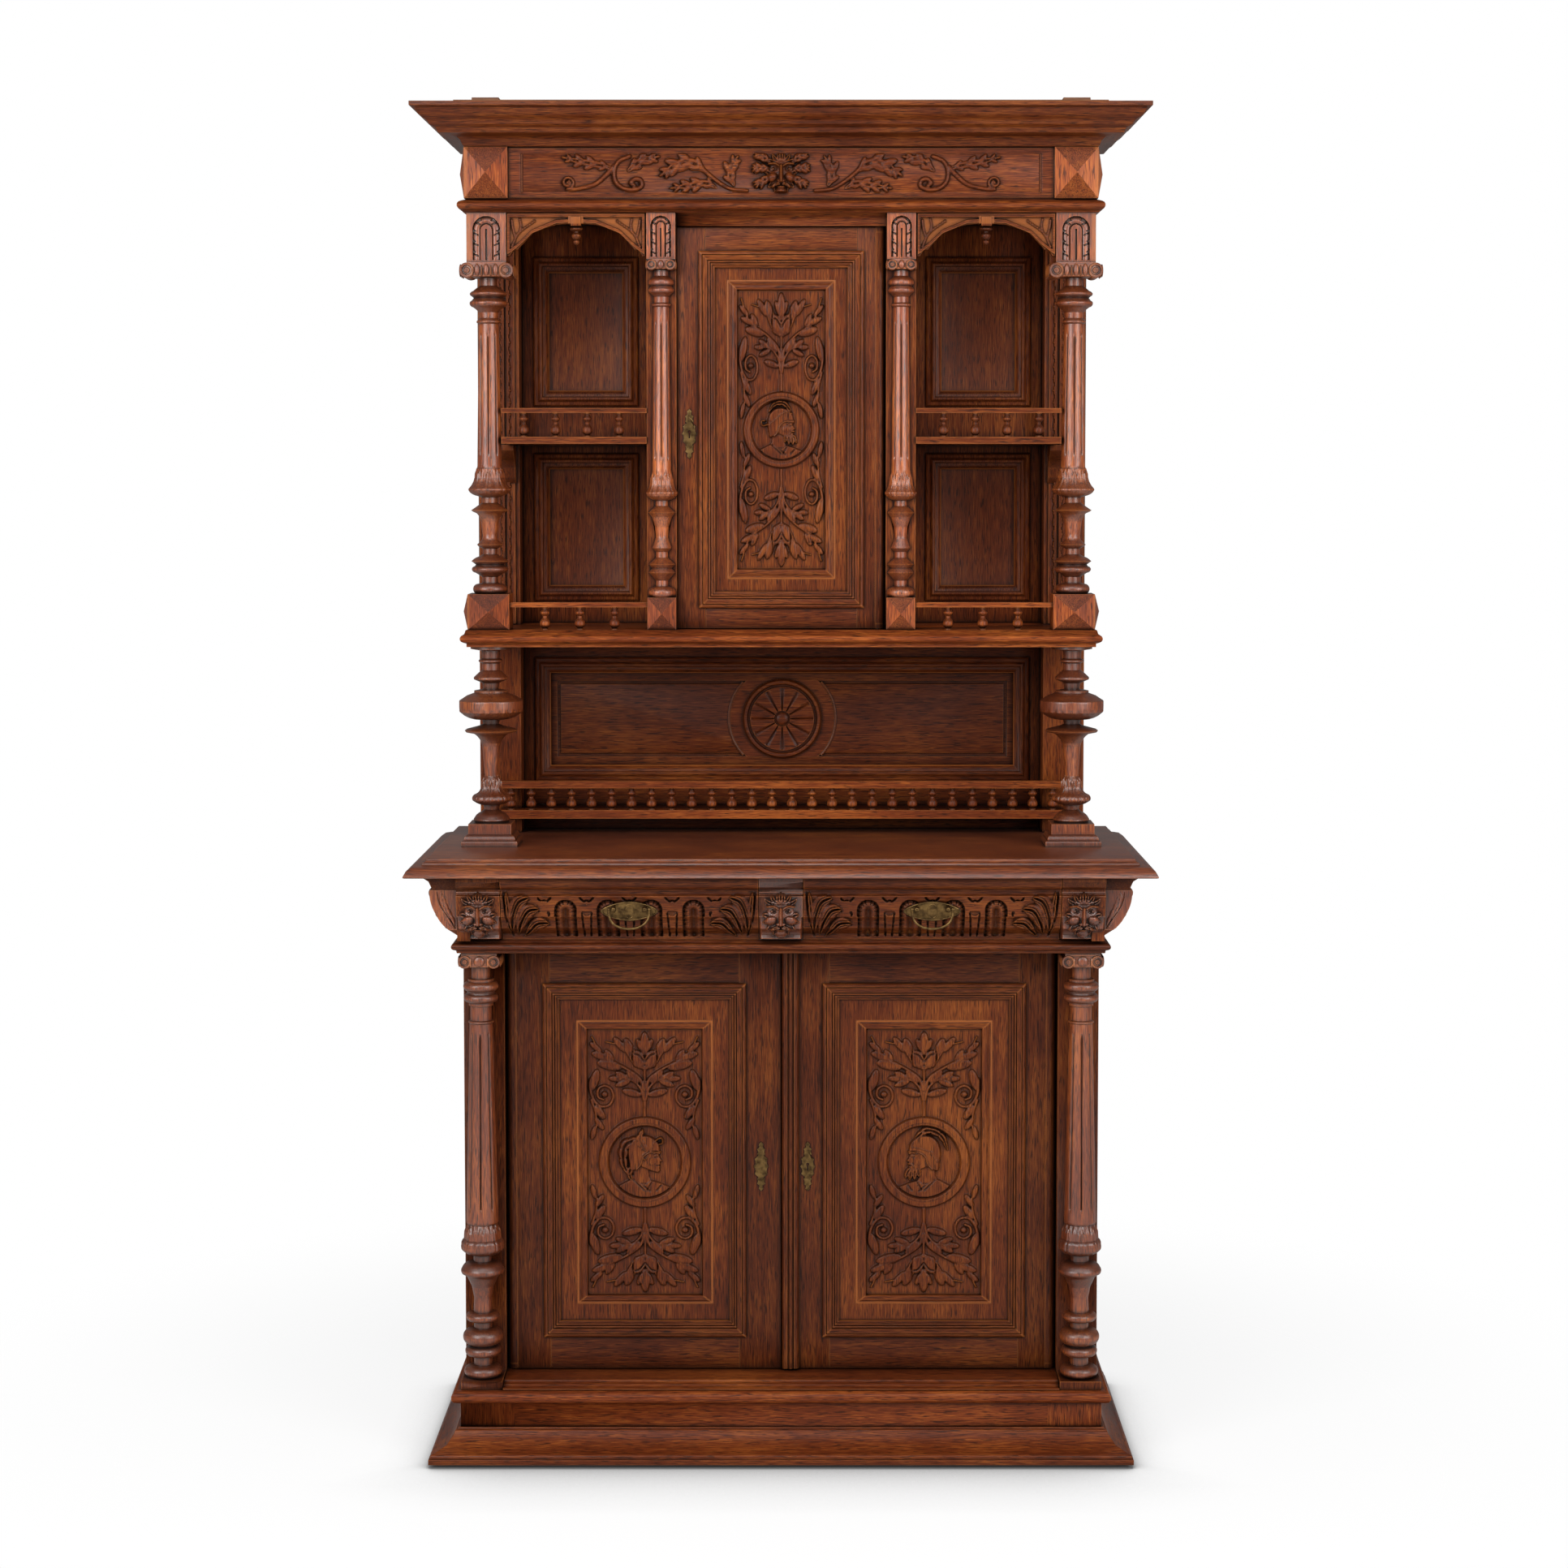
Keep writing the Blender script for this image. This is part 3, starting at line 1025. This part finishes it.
def upper_door_panel_shape():
    """The carved panel of the upper door."""
    face = UPPER_HINGE_Y - UPPER_DOOR_T / 2.0 + PANEL_RECESS
    ring = upper_ring()
    border = inset(ring, UPPER_BORDER_INSET, UPPER_BORDER_RAIL_INSET, UPPER_BORDER_RAIL_INSET)
    field = inset(border, UPPER_BORDER_W, UPPER_BORDER_RAIL_W, UPPER_BORDER_RAIL_W)
    return carved_panel(ring, face, face + PANEL_T - 0.002, border, field, (UPPER_MEDALLION_R, UPPER_MEDALLION_IN))


def escutcheon_shape(x, face_y, z, pierced):
    """A fretted key plate, upright, with or without its keyhole."""
    w = ESCUTCHEON_HALF_W
    h = ESCUTCHEON_H / 2.0
    half = [(0.0, -h), (w * 0.30, -h * 0.90), (w * 0.22, -h * 0.78), (w * 0.55, -h * 0.70, 0.45), (w * 0.55, -h * 0.50),
            (w * 0.35, -h * 0.44), (w * 0.85, -h * 0.30, 0.40), (w, 0.0, 0.40), (w * 0.85, h * 0.30), (w * 0.35, h * 0.44),
            (w * 0.55, h * 0.50, 0.45), (w * 0.55, h * 0.70), (w * 0.22, h * 0.78), (w * 0.30, h * 0.90), (0.0, h)]
    right = trace(half)
    outline = [(x + a, z + b) for a, b in right] + [(x - a, z + b) for a, b in right[-2:0:-1]]
    plate = along_y(outline, face_y - GAP - ESCUTCHEON_T, face_y - GAP)
    if not pierced:
        return plate
    slot = fuse(round_bar("y", (x, z + 0.004), 0.0028, face_y - 0.02, face_y + 0.02, 14),
                box(x - 0.0012, x + 0.0012, face_y - 0.02, face_y + 0.02, z - 0.008, z + 0.004))
    return cut(plate, slot)


def drawer_front_shape(side):
    """A drawer front that follows the swelling frieze."""
    inner, outer = MASK_HALF + DRAWER_CLEAR, BODY_HALF - 2 * MASK_HALF - DRAWER_CLEAR
    line = frieze_line()
    low, high = Z_FRIEZE + DRAWER_CLEAR, Z_WORKTOP - DRAWER_CLEAR
    line[0] = (line[0][0], low)
    line[-1] = (line[-1][0], high)
    back = PLINTH_FRONT_Y + DRAWER_FRONT_T
    return along_x(line + [(back, high), (back, low)], inner, outer).flipped(side)


def drawer_box_shape(side):
    """The open drawer box behind a front."""
    inner, outer = MASK_HALF + 0.004, BODY_HALF - 2 * MASK_HALF - 0.004
    y0, y1 = PLINTH_FRONT_Y + DRAWER_FRONT_T + GAP, DRAWER_BACK_Y
    low, high = Z_FRIEZE + GAP, Z_WORKTOP - 0.018
    w = DRAWER_WALL
    shell = box(inner, outer, y0, y1, low, high)
    room = box(inner + w, outer - w, y0 + w, y1 - w, low + DRAWER_FLOOR, high + 0.05)
    return cut(shell, room).flipped(side)


HANDLE_X = (MASK_HALF + BODY_HALF - 2 * MASK_HALF) / 2.0
HANDLE_Z = Z_FRIEZE + 0.0560


def plate_depth(z):
    """The flat plane against which the handle plate lies, across the fullest part of the swell."""
    low, high = Z_FRIEZE + 0.0458, Z_FRIEZE + 0.0828
    slope = (frieze_depth(high) - frieze_depth(low)) / (high - low)
    return frieze_depth(low) + slope * (z - low)


def handle_plate_shape(side):
    """The brass back plate with two ball-headed posts; it lies on the swelling front."""
    columns, rows = 14, 1
    front, rear = [], []
    for i in range(columns + 1):
        u = -1.0 + 2.0 * i / columns
        reach = PLATE_HALF_H * max(0.10, (1.0 - abs(u) ** 1.9) ** 0.75)
        x = HANDLE_X + u * PLATE_HALF_W
        zs = [HANDLE_Z + reach * (-1.0 + 2.0 * j / rows) for j in range(rows + 1)]
        front.append([(x, plate_depth(z) - GAP - PLATE_T, z) for z in zs])
        rear.append([(x, plate_depth(z) - GAP, z) for z in zs])
    rings = [f + r[::-1] for f, r in zip(front, rear)]
    plate = loops(rings)
    z = HANDLE_Z + 0.005
    y = plate_depth(z)
    posts = Shape()
    balls = Shape()
    pins = Shape()
    tip = y - HANDLE_REACH
    for end in (-1, 1):
        x = HANDLE_X + end * HANDLE_POST_HALF
        posts.add(round_bar("y", (x, z), 0.0034, tip, y - GAP - 0.0009, 8))
        rings = []
        for k in range(1, 6):
            a = math.pi * k / 6.0
            rings.append([(x + HANDLE_BALL_R * math.sin(a) * math.cos(2 * math.pi * m / 10),
                           tip + HANDLE_BALL_R * math.sin(a) * math.sin(2 * math.pi * m / 10),
                           z + HANDLE_BALL_R * math.cos(a)) for m in range(10)])
        balls.add(loops(rings))
        pins.add(round_bar("x", (tip, z), BAIL_PIN_R + PIN_GAP, x - 0.02, x + 0.02, 8))
    return cut(fuse(plate, posts, balls), pins).flipped(side)


def bail_axis():
    """The swing axis of a bail as (y, z)."""
    z = HANDLE_Z + 0.005
    return plate_depth(z) - HANDLE_REACH, z


def bail_shape(side):
    """A wide drop bail that hangs outside the post heads, from two pins in them."""
    y, z = bail_axis()
    reach = HANDLE_POST_HALF + HANDLE_BALL_R + GAP + BAIL_WIRE_R
    path = []
    for k in range(15):
        a = math.pi * k / 14.0
        path.append((reach * math.cos(a) * (1.0 + 0.06 * math.sin(a)), -BAIL_DROP * math.sin(a) ** 0.75))
    rings = []
    for k, (px, pz) in enumerate(path):
        before, after = path[max(0, k - 1)], path[min(len(path) - 1, k + 1)]
        tx, tz = after[0] - before[0], after[1] - before[1]
        length = math.hypot(tx, tz)
        nx, nz = -tz / length, tx / length
        rings.append([(HANDLE_X + px + BAIL_WIRE_R * math.cos(2 * math.pi * m / 8) * nx,
                       y + BAIL_WIRE_R * math.sin(2 * math.pi * m / 8),
                       z + pz + BAIL_WIRE_R * math.cos(2 * math.pi * m / 8) * nz) for m in range(8)])
    wire = loops(rings)
    pins = Shape()
    for end in (-1, 1):
        x = HANDLE_X + end * reach
        pins.add(round_bar("x", (y, z), BAIL_PIN_R, x + end * 0.0005, x - end * (BAIL_WIRE_R + 0.0085), 8))
    knuckles = Shape()
    for end in (-1, 1):
        x = HANDLE_X + end * reach
        knuckles.add(round_bar("x", (y, z), BAIL_WIRE_R * 1.25, x - 0.0020, x + 0.0020, 10))
    return fuse(wire, knuckles, pins).flipped(side)


def build():
    """Make every piece."""
    for obj in list(bpy.data.objects):
        bpy.data.objects.remove(obj)
    oak = material("oak", (0.17, 0.055, 0.022), 0.0, 0.5)
    pine = material("secondary_wood", (0.30, 0.17, 0.08), 0.0, 0.7)
    brass = material("brass", (0.55, 0.38, 0.14), 1.0, 0.4)
    steel = material("steel", (0.35, 0.35, 0.36), 1.0, 0.45)

    place("plinth_frame", plinth_shape(), oak)
    place("base_moulding", base_moulding_shape(), oak)
    place("base_floor", floor_shape(), oak)
    place("base_back", box(-(BODY_HALF - SIDE_T - GAP), BODY_HALF - SIDE_T - GAP, BACK_Y - BACK_T, BACK_Y,
                           Z_TORUS + GAP, Z_RAIL - GAP), pine)
    shelf_z = Z_FLOOR + INNER_SHELF_RISE
    place("base_inner_shelf", box(-(BODY_HALF - SIDE_T - GAP), BODY_HALF - SIDE_T - GAP, BODY_FRONT_Y + POST_D + GAP,
                                  BACK_Y - BACK_T - GAP, shelf_z, shelf_z + INNER_SHELF_T), pine)
    place("drawer_rail", rail_shape(), oak)
    place("mask_block_centre", mask_block_shape(), oak)
    place("worktop", worktop_shape(), oak)
    place("backboard_frame", backboard_frame_shape(), oak)
    place("backboard_panel", backboard_panel_shape(), oak)
    place("long_gallery", long_gallery_shape(), oak)
    place("middle_shelf", middle_shelf_shape(), oak)
    place("upper_back", upper_back_shape(), oak)
    place("entablature", entablature_shape(), oak)
    place("cornice", cornice_shape(), oak)
    place("top_board", top_board_shape(), pine)

    for word, side in (("left", -1), ("right", 1)):
        place("base_post_" + word, post_shape(side), oak)
        place("base_side_" + word, base_side_shape(side), oak)
        place("base_column_" + word, base_column_shape(side), oak)
        place("frieze_corner_" + word, frieze_corner_shape(side), oak)
        place("bay_column_" + word, bay_column_shape(side), oak)
        place("upper_column_" + word, upper_column_shape(side), oak)
        place("rear_post_" + word, rear_post_shape(side), oak)
        place("niche_shelf_" + word, niche_shelf_shape(side), oak)
        place("arch_" + word, arch_shape(side), oak)
        place("cupboard_side_" + word, cupboard_side_shape(side), oak)

        hinge = (side * HINGE_X, HINGE_Y, DOOR_LOW)
        face = HINGE_Y - DOOR_T / 2.0
        place("door_" + word + "_frame", door_frame_shape(side), oak, hinge)
        place("door_" + word + "_panel", door_panel_shape(side), oak, hinge)
        key_x = 0.0360 if side < 0 else 0.0470
        place("door_" + word + "_escutcheon",
              escutcheon_shape(key_x, face, Z_FLOOR + 0.3675, side > 0).flipped(side), brass, hinge)
        place("door_" + word + "_pivot_low", pivot_shape(side * HINGE_X, HINGE_Y, Z_FLOOR, DOOR_LOW), steel)
        place("door_" + word + "_pivot_top", pivot_shape(side * HINGE_X, HINGE_Y, DOOR_HIGH, Z_RAIL), steel)

        pull = (side * HANDLE_X, PLINTH_FRONT_Y, Z_FRIEZE)
        place("drawer_" + word + "_front", drawer_front_shape(side), oak, pull)
        place("drawer_" + word + "_box", drawer_box_shape(side), pine, pull)
        place("drawer_" + word + "_plate", handle_plate_shape(side), brass, pull)
        place("drawer_" + word + "_bail", bail_shape(side), brass, (side * HANDLE_X, *bail_axis()))

    hinge = (UPPER_HINGE_X, UPPER_HINGE_Y, UPPER_DOOR_LOW)
    face = UPPER_HINGE_Y - UPPER_DOOR_T / 2.0
    place("cupboard_door_frame", upper_door_frame_shape(), oak, hinge)
    place("cupboard_door_panel", upper_door_panel_shape(), oak, hinge)
    place("cupboard_door_escutcheon", escutcheon_shape(-0.1640, face, Z_UPPER + 0.3490, True), brass, hinge)
    place("cupboard_door_pivot_low", pivot_shape(UPPER_HINGE_X, UPPER_HINGE_Y, Z_UPPER, UPPER_DOOR_LOW), steel)
    place("cupboard_door_pivot_top", pivot_shape(UPPER_HINGE_X, UPPER_HINGE_Y, UPPER_DOOR_HIGH, DROP_RAIL_Z), steel)


build()
